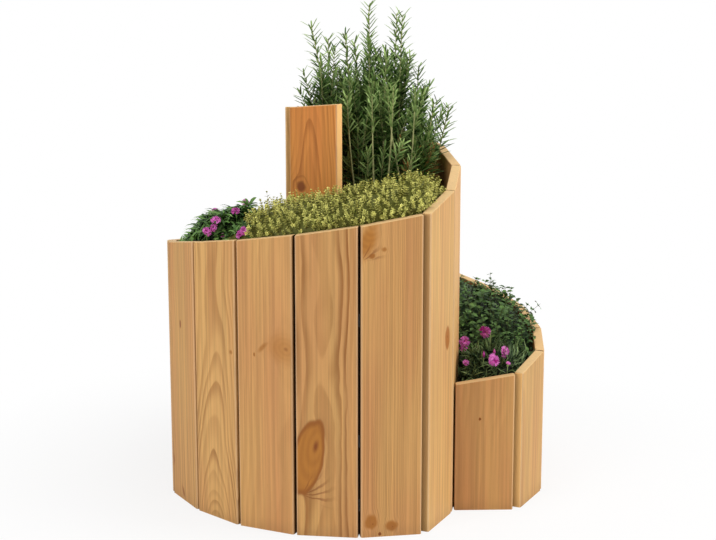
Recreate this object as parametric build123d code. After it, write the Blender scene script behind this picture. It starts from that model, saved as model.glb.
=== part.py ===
"""Herb spiral: a raised bed of upright softwood boards, set edge to edge along a spiral.

The wall starts low at the right of the front, goes once round the bed, turns in behind the
front and ends in its tallest board near the middle. Steel bands, screwed to the inner faces,
hold the boards together. Soil fills the wall from the ground up to a ramp under its rim.

Millimetres and degrees. +Z is up, the front faces -Y, and the origin is on the ground in the
middle of the wall's footprint. Joints of the wall count from 0, at the free edge of the first
board, so board k stands between joint k - 1 and joint k.
"""
import os
from math import cos, radians, sin

from build123d import *

# Boards
BOARD_WIDTH = 120.0
BOARD_THICKNESS = 19.0
BOARD_EDGE_CHAMFER = 2.0
BOARD_TOP_CHAMFER = 1.0
JOINT_GAP = 0.6  # between the inner edges of two neighbouring boards
MOUTH_GAP = 1.0  # between the first board's free edge and the inner turn that it meets

# Plan of the wall: the first board's heading, then the turn at each joint
FIRST_HEADING = 2.0
MOUTH_ANGLES = (61.5, 23.5)
RIGHT_ANGLES = (14.5, 16.0, 16.5, 18.0)
BACK_ANGLES = (19.0, 19.5, 19.0, 18.5, 17.0, 16.5)
LEFT_ANGLES = (15.5, 22.5, 16.0)
FRONT_ANGLES = (19.0, 18.0, 17.5)
INNER_ANGLES = (55.0, 16.5, 22.5, 33.0, 42.0, 49.0, 43.0, 52.5)

# Height of the rim: a steady rise at every outer board, then the rise of each board of the inner turn
FIRST_HEIGHT = 265.0
OUTER_RISE = 19.4
INNER_RISES = (28.0, 33.0, 28.0, 24.0, 22.0, 22.0, 23.0, 13.0)

# Steel bands on the inner faces, at these heights of their middle line
BAND_WIDTH = 25.0
BAND_THICKNESS = 1.5
LOWER_BAND_LEVEL = 60.0
MIDDLE_BAND_LEVEL = 190.0
UPPER_BAND_LEVEL = 430.0
BAND_END_MARGIN = 15.0  # from a band's cut end to the edge of its last board
BAND_COVER = 35.0  # least height of board above a band

# Hexagon head screws, one for each board on each band
SCREW_LENGTH = 15.0  # under the head
SCREW_DIAMETER = 4.0
SCREW_SIDES = 8  # of the shank and of its holes
SCREW_HEAD_WIDTH = 7.0  # across the flats
SCREW_HEAD_HEIGHT = 2.8
PILOT_CLEARANCE = 0.1  # round the shank in its board
BAND_HOLE_CLEARANCE = 0.5  # round the shank in its band

# Soil
FREEBOARD = 35.0  # from the soil up to the rim
SOIL_CLEARANCE = 0.3
TOP_BED_STEP = 6.0  # from the end of the ramp up to the level top bed
SOIL_CORE_RADIUS = 35.0  # where the ramp ends round the middle, under the level top

# Herbs: how far each one stands above the soil, at its crown and at the wall
HERB_CLEARANCE = 0.6
HERB_END_SWELL = 0.5  # height of a cushion at its ends, as a share of its middle
HERB_REACH = 0.45  # share of the way to the core that a cushion takes where no wall ends it
THYME_CROWN = 100.0
THYME_EDGE = 55.0
LEFT_PINKS_CROWN = 105.0
LEFT_PINKS_EDGE = 30.0
OREGANO_CROWN = 55.0
OREGANO_EDGE = 38.0
RIGHT_PINKS_CROWN = 80.0
RIGHT_PINKS_EDGE = 55.0
# Where each one stands along the wall, counted in joints
THYME_PLACES = (15.2, 16.0, 17.0, 18.0, 19.0, 20.0)
LEFT_PINKS_PLACES = (10.6, 11.0, 12.0, 13.0, 14.0, 15.0, 15.1)
OREGANO_PLACES = (2.1, 3.0, 4.0, 5.0, 6.0, 7.0, 7.6)
RIGHT_PINKS_PLACES = (0.4, 1.0, 2.0)

# Rosemary: shoots fan out from the middle of the top bed
SHOOT_RADIUS = 19.0
SHOOT_ROOT_RADIUS = 5.0
SHOOT_TIP_RADIUS = 2.5
SHOOT_SIDES = 6
# Each shoot: direction from the middle, root and tip as shares of the bed's radius, tip height
SHOOTS = (
    (196.0, 0.72, 0.86, 979.0),
    (165.0, 0.62, 0.78, 951.0),
    (225.0, 0.42, 0.60, 905.0),
    (140.0, 0.30, 0.42, 985.0),
    (245.0, 0.08, 0.20, 1020.0),
    (288.0, 0.50, 0.62, 919.0),
    (70.0, 0.45, 0.55, 1007.0),
    (338.0, 0.42, 0.56, 1000.0),
    (20.0, 0.70, 0.86, 895.0),
    (330.0, 0.86, 1.12, 850.0),
    (356.0, 0.84, 1.24, 815.0),
    (112.0, 0.66, 0.86, 940.0),
)

# Places, crown and wall side of each herb cushion
CUSHIONS = {
    "thyme": (THYME_PLACES, THYME_CROWN, THYME_EDGE),
    "left_pinks": (LEFT_PINKS_PLACES, LEFT_PINKS_CROWN, LEFT_PINKS_EDGE),
    "oregano": (OREGANO_PLACES, OREGANO_CROWN, OREGANO_EDGE),
    "right_pinks": (RIGHT_PINKS_PLACES, RIGHT_PINKS_CROWN, RIGHT_PINKS_EDGE),
}

JOINT_ANGLES = MOUTH_ANGLES + RIGHT_ANGLES + BACK_ANGLES + LEFT_ANGLES + FRONT_ANGLES + INNER_ANGLES
BOARDS = len(JOINT_ANGLES) + 1
INNER_BOARDS = len(INNER_ANGLES)
OUTER_BOARDS = BOARDS - INNER_BOARDS
BOARD_PITCH = BOARD_WIDTH + JOINT_GAP


def direction(heading):
    """Unit vector of a heading in plan."""
    return Vector(cos(radians(heading)), sin(radians(heading)))


def inward(heading):
    """Unit vector to the bed's side of a board with this heading."""
    return direction(heading + 90)


def wall_plan():
    """Heading of each board and the inner corner at each joint, about the footprint's middle."""
    headings = [FIRST_HEADING]
    for angle in JOINT_ANGLES:
        headings.append(headings[-1] + angle)
    joints = [Vector(0, 0)]
    for heading in headings:
        joints.append(joints[-1] + direction(heading) * BOARD_PITCH)
    corners = []
    for board, heading in enumerate(headings):
        for joint in joints[board : board + 2]:
            corners += [joint, joint - inward(heading) * BOARD_THICKNESS]
    left, right = min(c.X for c in corners), max(c.X for c in corners)
    front, back = min(c.Y for c in corners), max(c.Y for c in corners)
    middle = Vector((left + right) / 2, (front + back) / 2)
    return headings, [joint - middle for joint in joints]


HEADINGS, JOINTS = wall_plan()


def rim_height(place):
    """Height of the wall's rim at a joint, or at a share of the way between two joints."""
    height = FIRST_HEIGHT + OUTER_RISE * min(place, OUTER_BOARDS)
    for joint, rise in enumerate(INNER_RISES, OUTER_BOARDS):
        height += rise * min(max(place - joint, 0), 1)
    return height


def soil_height(place):
    """Height of the soil's ramp beside the wall, which ends after the first inner board."""
    return rim_height(place) - FREEBOARD


def top_bed_height():
    """Height of the level soil inside the inner turn, a step above the end of the ramp."""
    return soil_height(OUTER_BOARDS + 1) + TOP_BED_STEP


def wall_line(inset):
    """The wall's inner line moved towards the bed by an inset, with mitred corners."""
    points = [JOINTS[0] + inward(HEADINGS[0]) * inset]
    for joint, before, after in zip(JOINTS[1:], HEADINGS, HEADINGS[1:]):
        mitre = (inward(before) + inward(after)) * (inset / (1 + cos(radians(after - before))))
        points.append(joint + mitre)
    return points + [JOINTS[-1] + inward(HEADINGS[-1]) * inset]


def stretch(first, last, inset, start_margin=0.0, end_margin=0.0):
    """Part of the inset wall line along boards first to last, shortened at its ends."""
    points = wall_line(inset)[first - 1 : last + 1]
    points[0] = JOINTS[first - 1] + inward(HEADINGS[first - 1]) * inset
    points[0] += direction(HEADINGS[first - 1]) * start_margin
    points[-1] = JOINTS[last] + inward(HEADINGS[last - 1]) * inset
    points[-1] -= direction(HEADINGS[last - 1]) * end_margin
    return points


def strip(near, far, bottom, top):
    """Upright strip that fills the space between two lines along the wall."""
    outline = make_face(Polyline(*near, *reversed(far), close=True))
    return Pos(0, 0, bottom) * extrude(outline, amount=top - bottom, dir=(0, 0, 1))


def mouth_trim():
    """Way from joint 0 to the first board's free edge, which stops short of the inner turn."""
    facing = HEADINGS[OUTER_BOARDS + 1]
    on_face = JOINTS[OUTER_BOARDS + 1] - inward(facing) * BOARD_THICKNESS
    along = direction(HEADINGS[0])
    ways = []
    for depth in (0, BOARD_THICKNESS):
        corner = JOINTS[0] - inward(HEADINGS[0]) * depth
        ways.append((on_face - corner).dot(inward(facing)) / along.dot(inward(facing)))
    return max(ways) + MOUTH_GAP


def board_plane(board):
    """Plane of a board's inner face, from its first joint: x along the board, y up, z outwards."""
    heading = HEADINGS[board - 1]
    return Plane(
        origin=JOINTS[board - 1],
        x_dir=direction(heading),
        z_dir=inward(heading) * -1,
    )


def band_levels():
    """Name, height and first board of each band: a board has a band that its rim covers."""
    bands = {}
    for name, level in (
        ("lower", LOWER_BAND_LEVEL),
        ("middle", MIDDLE_BAND_LEVEL),
        ("upper", UPPER_BAND_LEVEL),
    ):
        rim_needed = level + BAND_WIDTH / 2 + BAND_COVER
        covered = [board for board in range(1, BOARDS + 1) if rim_height(board - 1) >= rim_needed]
        bands[name] = (level, covered[0])
    return bands


BANDS = band_levels()


def at_screw(board, level):
    """Place of a screw on a board's inner face, pointing outwards into the wood."""
    return board_plane(board).location * Pos(BOARD_PITCH / 2, level, 0)


def screw_section(clearance=0.0):
    """Section of a screw's shank, or of a hole with a clearance round it."""
    return RegularPolygon(SCREW_DIAMETER / 2 + clearance, SCREW_SIDES)


def make_board(board):
    """One board: eased long edges, a top on the slope of the rim, pilot holes for its screws."""
    start, end = JOINT_GAP / 2, BOARD_PITCH - JOINT_GAP / 2
    if board == 1:
        start = mouth_trim()
    rise = rim_height(board) - rim_height(board - 1)

    def rim(x):
        return rim_height(board - 1) + rise * x / BOARD_PITCH

    outline = Polyline((start, 0), (end, 0), (end, rim(end)), (start, rim(start)), close=True)
    wood = extrude(board_plane(board).location * make_face(outline), amount=BOARD_THICKNESS)
    wood = chamfer(wood.edges().filter_by(Axis.Z), BOARD_EDGE_CHAMFER)
    wood = chamfer(wood.faces().sort_by(Axis.Z)[-1].edges(), BOARD_TOP_CHAMFER)
    pilot_depth = SCREW_LENGTH - BAND_THICKNESS + PILOT_CLEARANCE
    pilot = extrude(screw_section(PILOT_CLEARANCE), pilot_depth)
    for level, first in BANDS.values():
        if board >= first:
            wood -= at_screw(board, level) * pilot
    return wood


def make_band(level, first):
    """One steel band, bent at every joint, with a hole for each screw."""
    margins = (BAND_END_MARGIN, BAND_END_MARGIN)
    band = strip(
        stretch(first, BOARDS, 0, *margins),
        stretch(first, BOARDS, BAND_THICKNESS, *margins),
        level - BAND_WIDTH / 2,
        level + BAND_WIDTH / 2,
    )
    hole = extrude(screw_section(BAND_HOLE_CLEARANCE), 2 * BAND_THICKNESS, both=True)
    return band - [at_screw(board, level) * hole for board in range(first, BOARDS + 1)]


def make_screw():
    """One screw along z: the head ends at z = 0 and the shank points to +z."""
    head = extrude(RegularPolygon(SCREW_HEAD_WIDTH / 2, 6, major_radius=False), SCREW_HEAD_HEIGHT)
    return Pos(0, 0, -SCREW_HEAD_HEIGHT) * head + extrude(screw_section(), SCREW_LENGTH)


def make_screws(level, first):
    """The screws of one band, each with its head on the band."""
    seat = Pos(0, 0, -BAND_THICKNESS)
    screw = make_screw()
    return Compound([at_screw(board, level) * seat * screw for board in range(first, BOARDS + 1)])


def bed_middle():
    """Middle of the top bed, inside the inner turn."""
    corners = JOINTS[OUTER_BOARDS + 1 :]
    return sum(corners, Vector(0, 0)) / len(corners)


MIDDLE = bed_middle()


def between(points, place):
    """Point at a joint, or at a share of the way between two joints."""
    joint = min(int(place), len(points) - 2)
    return points[joint] + (points[joint + 1] - points[joint]) * (place - joint)


def core_line():
    """End of the ramp at every joint, on a small circle round the middle of the top bed."""
    line = []
    for joint in JOINTS:
        spoke = joint - MIDDLE
        line.append(MIDDLE + spoke * (SOIL_CORE_RADIUS / spoke.length))
    return line


CORE = core_line()


def faceted(rings):
    """Solid through rings of points, with two flat facets for each side between two rings."""
    outlines = [rings[0], rings[-1]]
    for ring, next_ring in zip(rings, rings[1:]):
        for corner in range(len(ring)):
            after = (corner + 1) % len(ring)
            outlines.append((ring[corner], ring[after], next_ring[after]))
            outlines.append((ring[corner], next_ring[after], next_ring[corner]))
    return Solid(Shell([Face(Wire.make_polygon(outline)) for outline in outlines]))


def inner_turn_room(clearance):
    """Room that the boards of the inner turn take up, with a clearance round them."""
    inner = (OUTER_BOARDS + 1, BOARDS)
    return strip(
        stretch(*inner, -BOARD_THICKNESS - clearance, 0, -clearance),
        stretch(*inner, clearance, 0, -clearance),
        0,
        rim_height(BOARDS),
    )


def soil_mass(spread=0.0):
    """Ramp through a section at every joint, and the level top bed inside the inner turn."""
    edge = wall_line(SOIL_CLEARANCE)
    sections = []
    for joint in range(OUTER_BOARDS + 2):
        top = Vector(0, 0, soil_height(joint))
        wall_foot, core_foot = edge[joint], CORE[joint]
        sections.append((wall_foot, core_foot, core_foot + top, wall_foot + top))
    top_bed = make_face(Polyline(*edge[OUTER_BOARDS + 1 :], close=True))
    if spread:
        top_bed = offset(top_bed, spread, kind=Kind.INTERSECTION)
    top_bed_mass = extrude(top_bed, amount=top_bed_height(), dir=(0, 0, 1))
    return faceted(sections) + top_bed_mass


def make_soil():
    """Soil with room for the inner turn, the bands and the screw heads."""
    soil = soil_mass() - inner_turn_room(SOIL_CLEARANCE)
    groove_depth = BAND_THICKNESS + SCREW_HEAD_HEIGHT + SOIL_CLEARANCE
    groove_half = BAND_WIDTH / 2 + SOIL_CLEARANCE
    past_ends = (-BOARD_THICKNESS / 2, 0)  # the lowest grooves open into the inner turn's room
    for level, first in BANDS.values():
        soil -= strip(
            stretch(first, BOARDS, 0, *past_ends),
            stretch(first, BOARDS, groove_depth, *past_ends),
            level - groove_half,
            level + groove_half,
        )
    return soil


def bed_spoke(place):
    """Wall point at a place, and the way across the bed to the inner turn, or its reach without one."""
    start = between(wall_line(SOIL_CLEARANCE), place)
    spoke = between(CORE, place) - start
    turn_face = wall_line(-BOARD_THICKNESS)[OUTER_BOARDS + 1 :]
    shares = []
    for corner, next_corner in zip(turn_face, turn_face[1:]):
        side = next_corner - corner
        gap = corner - start
        cross = spoke.cross(side).Z
        along = gap.cross(side).Z / cross
        across = gap.cross(spoke).Z / cross
        if 0 < along < 1 and 0 <= across <= 1:
            shares.append(along)
    return start, spoke * min(shares, default=HERB_REACH)


def make_cushion(places, crown, edge, rooms):
    """A herb that fills the bed along a stretch of wall, with a crown and lower sides."""
    profile = ((0.0, edge), (0.22, 0.84 * crown), (0.5, crown), (0.8, 0.8 * crown), (1.0, 0.35 * crown))
    ends = (places[0], places[-1])
    sections = []
    for place in places:
        start, spoke = bed_spoke(place)
        first = start + spoke.normalized() * HERB_CLEARANCE
        soil = Vector(0, 0, soil_height(place))
        root = soil - Vector(0, 0, edge)
        swell = HERB_END_SWELL if place in ends else 1.0
        outline = [first + root, first + spoke + root]
        for share, height in reversed(profile):
            outline.append(first + spoke * share + soil + Vector(0, 0, height * swell))
        sections.append(outline)
    return faceted(sections) - rooms


def make_shoot(turn, root, tip, height):
    """One rosemary shoot: a spindle that leans out from the middle of the top bed."""
    radius = min((corner - MIDDLE).length for corner in JOINTS[OUTER_BOARDS + 1 :])
    base = MIDDLE + direction(turn) * (root * (radius - SHOOT_RADIUS))
    base += Vector(0, 0, top_bed_height() + HERB_CLEARANCE)
    top = MIDDLE + direction(turn) * (tip * (radius - SHOOT_RADIUS)) + Vector(0, 0, height)
    rings = (
        (0.0, SHOOT_ROOT_RADIUS),
        (0.35, SHOOT_RADIUS),
        (0.75, 0.8 * SHOOT_RADIUS),
        (1.0, SHOOT_TIP_RADIUS),
    )
    sides = [direction(360 * side / SHOOT_SIDES) for side in range(SHOOT_SIDES)]
    sections = []
    for share, ring_radius in rings:
        middle = base + (top - base) * share
        sections.append([middle + side * ring_radius for side in sides])
    return faceted(sections)


def make_rosemary():
    """The rosemary bush as separate shoots."""
    return Compound([make_shoot(*shoot) for shoot in SHOOTS])


def write(name, shape):
    """Write one node."""
    export_step(shape, f"parts/{name}.step")


def main():
    os.makedirs("parts", exist_ok=True)
    for board in range(1, BOARDS + 1):
        write(f"board_{board:02d}", make_board(board))
    for name, (level, first) in BANDS.items():
        write(f"{name}_band", make_band(level, first))
        write(f"{name}_band_screws", make_screws(level, first))
    write("soil", make_soil())
    write("rosemary", make_rosemary())
    above_soil = Pos(0, 0, HERB_CLEARANCE) * soil_mass(HERB_CLEARANCE)
    rooms = [above_soil, inner_turn_room(HERB_CLEARANCE)]
    for name, (places, crown, edge) in CUSHIONS.items():
        write(name, make_cushion(places, crown, edge, rooms))


main()
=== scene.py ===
"""Looks of the herb spiral: wood, steel, soil, herbs, floor, light and camera.

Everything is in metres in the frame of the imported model: +Z is up and the front faces -Y.
Wood grain is worked out in millimetres in each board's own frame.
"""

import math
from functools import partialmethod

import bmesh
import bpy
import numpy as np
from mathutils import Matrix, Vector, noise
from mathutils.bvhtree import BVHTree


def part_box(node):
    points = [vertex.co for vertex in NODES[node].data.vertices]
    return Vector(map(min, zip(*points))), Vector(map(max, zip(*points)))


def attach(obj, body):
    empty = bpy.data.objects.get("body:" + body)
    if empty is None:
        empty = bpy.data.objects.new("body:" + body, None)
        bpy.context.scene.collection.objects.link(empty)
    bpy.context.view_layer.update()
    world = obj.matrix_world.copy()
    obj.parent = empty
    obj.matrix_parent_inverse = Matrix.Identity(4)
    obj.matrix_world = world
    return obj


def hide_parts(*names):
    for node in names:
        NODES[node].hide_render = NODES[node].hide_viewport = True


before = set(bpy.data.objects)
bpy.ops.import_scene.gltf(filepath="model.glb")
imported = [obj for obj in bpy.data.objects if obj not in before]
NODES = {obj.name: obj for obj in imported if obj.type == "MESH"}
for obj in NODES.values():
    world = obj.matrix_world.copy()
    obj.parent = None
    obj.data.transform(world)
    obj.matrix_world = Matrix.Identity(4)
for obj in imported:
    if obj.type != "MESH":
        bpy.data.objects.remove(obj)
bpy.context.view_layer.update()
BOARDS = {number: f"board_{number:02d}" for number in range(1, 28)}
SEED = 11
UP = np.array([0.0, 0.0, 1.0])
MM = 0.001
UV_LAYER = "OFBake"

# Camera, fitted to the corners of the boards
FOCAL_PIXELS = 1600.0
IMAGE_WIDTH = 716.0
SENSOR_WIDTH = 36.0
CAMERA_PLACE = (0.0053, -3.3556, 1.130)
CAMERA_PITCH = 11.46  # degrees below the horizon

# Light: strength of the surroundings, and the lamps with place, size, watts and colour
SKY_STRENGTH = 0.42
LAMP_TARGET = (0.0, 0.0, 0.4)
LAMPS = (
    ("key", (3.1, -0.7, 1.6), 1.6, 60.0, (1.0, 0.97, 0.93)),
    ("top", (0.3, -0.4, 3.2), 2.0, 36.0, (1.0, 1.0, 1.0)),
    ("fill", (-2.2, -2.6, 1.5), 2.0, 40.0, (1.0, 1.0, 1.0)),
)
FLOOR_REACH = 8.0
FLOOR_GREY = (0.86, 0.86, 0.86, 1.0)
FLOOR_FADE = (0.45, 1.1)  # from so far to so far from the middle
FLOOR_WHITE = (0.82, 1.0)  # the floor goes from so white to so white


def linear(red, green, blue):
    """Linear colour of an 8-bit screen colour."""
    channels = []
    for value in (red, green, blue):
        share = value / 255.0
        if share <= 0.04045:
            channels.append(share / 12.92)
        else:
            channels.append(((share + 0.055) / 1.055) ** 2.4)
    return (*channels, 1.0)


class Value:
    """Number, vector or colour that a node gives. Arithmetic with it adds nodes to its graph."""

    def __init__(self, graph, socket):
        self.graph = graph
        self.socket = socket

    def calculate(self, operation, *others):
        """Result of a Math node, or of a Vector Math node for a vector."""
        kind = "ShaderNodeVectorMath" if self.socket.type == "VECTOR" else "ShaderNodeMath"
        return self.graph.value(kind, (self, *others), operation=operation)

    __add__ = partialmethod(calculate, "ADD")
    __sub__ = partialmethod(calculate, "SUBTRACT")
    __mul__ = partialmethod(calculate, "MULTIPLY")
    __truediv__ = partialmethod(calculate, "DIVIDE")
    __pow__ = partialmethod(calculate, "POWER")
    __abs__ = partialmethod(calculate, "ABSOLUTE")
    __lt__ = partialmethod(calculate, "LESS_THAN")
    __gt__ = partialmethod(calculate, "GREATER_THAN")
    at_least = partialmethod(calculate, "MAXIMUM")
    at_most = partialmethod(calculate, "MINIMUM")

    def __rsub__(self, other):
        return self * -1.0 + other

    def step(self, low, high, first=0.0, last=1.0):
        """Smooth change from the first to the last value while this one goes from low to high."""
        inputs = (self, low, high, first, last)
        return self.graph.value("ShaderNodeMapRange", inputs, interpolation_type="SMOOTHSTEP")

    def noise(self, scale=1.0, detail=2.0, roughness=0.5):
        inputs = {"Vector": self, "Scale": scale, "Detail": detail, "Roughness": roughness}
        return self.graph.value("ShaderNodeTexNoise", inputs, "Fac")

    def length(self):
        return self.graph.value("ShaderNodeVectorMath", [self], "Value", operation="LENGTH")

    def parts(self):
        """x, y and z."""
        return self.graph.values("ShaderNodeSeparateXYZ", [self])


class Graph:
    """Adds nodes to a node tree. An input is a plain value or the value of another node."""

    def __init__(self, tree):
        self.tree = tree

    def fill(self, node, inputs):
        """Sets or links inputs of a node: a row of them in order, or a dictionary by name or number."""
        if not isinstance(inputs, dict):
            inputs = dict(enumerate(inputs))
        for key, value in inputs.items():
            if isinstance(value, Value):
                self.tree.links.new(value.socket, node.inputs[key])
            else:
                node.inputs[key].default_value = value

    def node(self, kind, inputs=(), **settings):
        made = self.tree.nodes.new(kind)
        for name, value in settings.items():
            setattr(made, name, value)
        self.fill(made, inputs)
        return made

    def values(self, kind, inputs=(), **settings):
        """All outputs of a new node."""
        return [Value(self, socket) for socket in self.node(kind, inputs, **settings).outputs]

    def value(self, kind, inputs=(), output=0, **settings):
        """One output of a new node."""
        return Value(self, self.node(kind, inputs, **settings).outputs[output])

    def place(self):
        """Place on the object, in metres."""
        return self.value("ShaderNodeTexCoord", output="Object")

    def join(self, x, y, z):
        return self.value("ShaderNodeCombineXYZ", (x, y, z))

    def mix(self, factor, first, second, blend="MIX"):
        inputs = {0: factor, 6: first, 7: second}
        return self.value("ShaderNodeMix", inputs, 2, data_type="RGBA", blend_type=blend)

    def tinted(self, colour, factor):
        """Colour times a number or a vector."""
        if factor.socket.type == "VALUE":
            factor = self.join(factor, factor, factor)
        return self.mix(1.0, colour, factor, "MULTIPLY")

    def bump(self, height, strength, depth):
        return self.value("ShaderNodeBump", {"Height": height, "Strength": strength, "Distance": depth})


# Kinds of the groups' sockets that aren't plain numbers
SOCKET_KINDS = dict.fromkeys(("Vector", "Straight", "Pith", "Centre", "Radii", "Core"), "Vector")
SOCKET_KINDS["Color"] = "Color"


def new_group(name, inputs, outputs):
    """Empty node group: its graph, its inputs as values and its output node."""
    tree = bpy.data.node_groups.new(name, "ShaderNodeTree")
    for direction, sockets in (("INPUT", inputs), ("OUTPUT", outputs)):
        for socket in sockets:
            kind = "NodeSocket" + SOCKET_KINDS.get(socket, "Float")
            tree.interface.new_socket(socket, in_out=direction, socket_type=kind)
    graph = Graph(tree)
    return graph, graph.values("NodeGroupInput")[: len(inputs)], graph.node("NodeGroupOutput")


def new_material(name):
    """Node material, its graph and its Principled shader."""
    material = bpy.data.materials.new(name)
    material.use_nodes = True
    return material, Graph(material.node_tree), material.node_tree.nodes["Principled BSDF"]


def paint(piece, material):
    """The piece's only material."""
    piece.data.materials.clear()
    piece.data.materials.append(material)


def add_object(name, data):
    """New object in the scene."""
    made = bpy.data.objects.new(name, data)
    bpy.context.scene.collection.objects.link(made)
    return made


# Wood, in millimetres in each board's own frame: x along its width, y inwards and z up
HONEY = linear(208, 160, 98)
ROSE = linear(202, 146, 92)
LATE_WOOD = linear(150, 98, 48)
PAINTED_TOP_HIGHLIGHT = linear(240, 208, 154)
PAINTED_EDGE_HIGHLIGHT = linear(238, 208, 168)
PAINTED_SIDE_LIGHT = linear(252, 200, 128)
KNOT_ORANGE = linear(188, 124, 50)
KNOT_DARK = linear(112, 46, 18)
PAINTED_JOINT_SHADE = linear(44, 22, 8)
FOOT_DARKER = linear(120, 88, 58)
# Change of a warm board's red, green and blue; a pale board goes the other way
AMBER_SHIFT = (0.12, -0.18, -0.52)
HALF_WIDTH = 60.0
HALF_THICKNESS = 9.5
CHAMFER = 2.0
EDGE_HIGHLIGHT_REACH = 1.6
SIDE_DEPTH = 0.4  # as near as this to its edge, a board's face is its side
FOOT_DARKER_HEIGHT = 30.0
GRAIN_BUMP = 0.4 * MM
GRAIN_RELIEF = 0.35
WOOD_GLOSS = 0.22
FIRST_SEED = 1.0
SEED_STEP = 0.37  # from one board to the next

# Inputs of the knot and of the wood, in order
KNOT_INPUTS = (
    "Vector", "Cover", "Dark", "Centre", "Radii", "Tilt", "Strength", "Darkness", "Softness", "Rim", "Core",
)
WOOD_INPUTS = (
    "Vector", "Straight", "Pith", "Lean", "Bow", "Waist", "Ring width", "Contrast", "Rose", "Bright", "Warm",
    "Seed", "Cover", "Dark", "Left side shade and light", "Right side shade and light",
)


def make_knot_group():
    """One knot: bends the grain round it and adds to the knots' cover and to their dark marks."""
    graph, given, result = new_group("knot", KNOT_INPUTS, ("Vector", "Cover", "Dark"))
    vector, cover, dark, centre, radii, tilt, strength, darkness, softness, rim, core = given
    offset = vector - centre
    turned = graph.value("ShaderNodeVectorRotate", {"Vector": offset, "Angle": tilt}, rotation_type="Y_AXIS")
    share = turned / radii * (1.0, 0.0, 1.0)
    wobble = (share + centre).noise(1.1, 1.0)
    distance = share.length() * (wobble * 0.4 + 0.8)

    # The grain runs round the knot
    falloff = (distance**2.0 * -0.45).calculate("EXPONENT")
    bent = offset.parts()[0] * (falloff * -0.9)

    # Its own wood, soft or sharp at the border
    own = distance.step(1.0 - softness, softness + 1.0, 1.0, 0.0) * strength

    # Dark marks: rim, off-centre core and years inside
    edge = distance.step(0.74, 0.95) * distance.step(0.97, 1.08, 1.0, 0.0) * rim
    from_core = (share - core).length()
    heart = from_core.step(0.03, 0.24, 0.75, 0.0) * strength
    years = ((from_core * 17.0).calculate("SINE") * 0.5 + 0.5) * 0.16 * own
    marks = edge.at_least(heart).at_least(years).at_least(own * darkness)
    results = (vector + graph.join(bent, 0.0, 0.0), cover.at_least(own), dark.at_least(marks))
    graph.fill(result, results)
    return graph.tree


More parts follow.
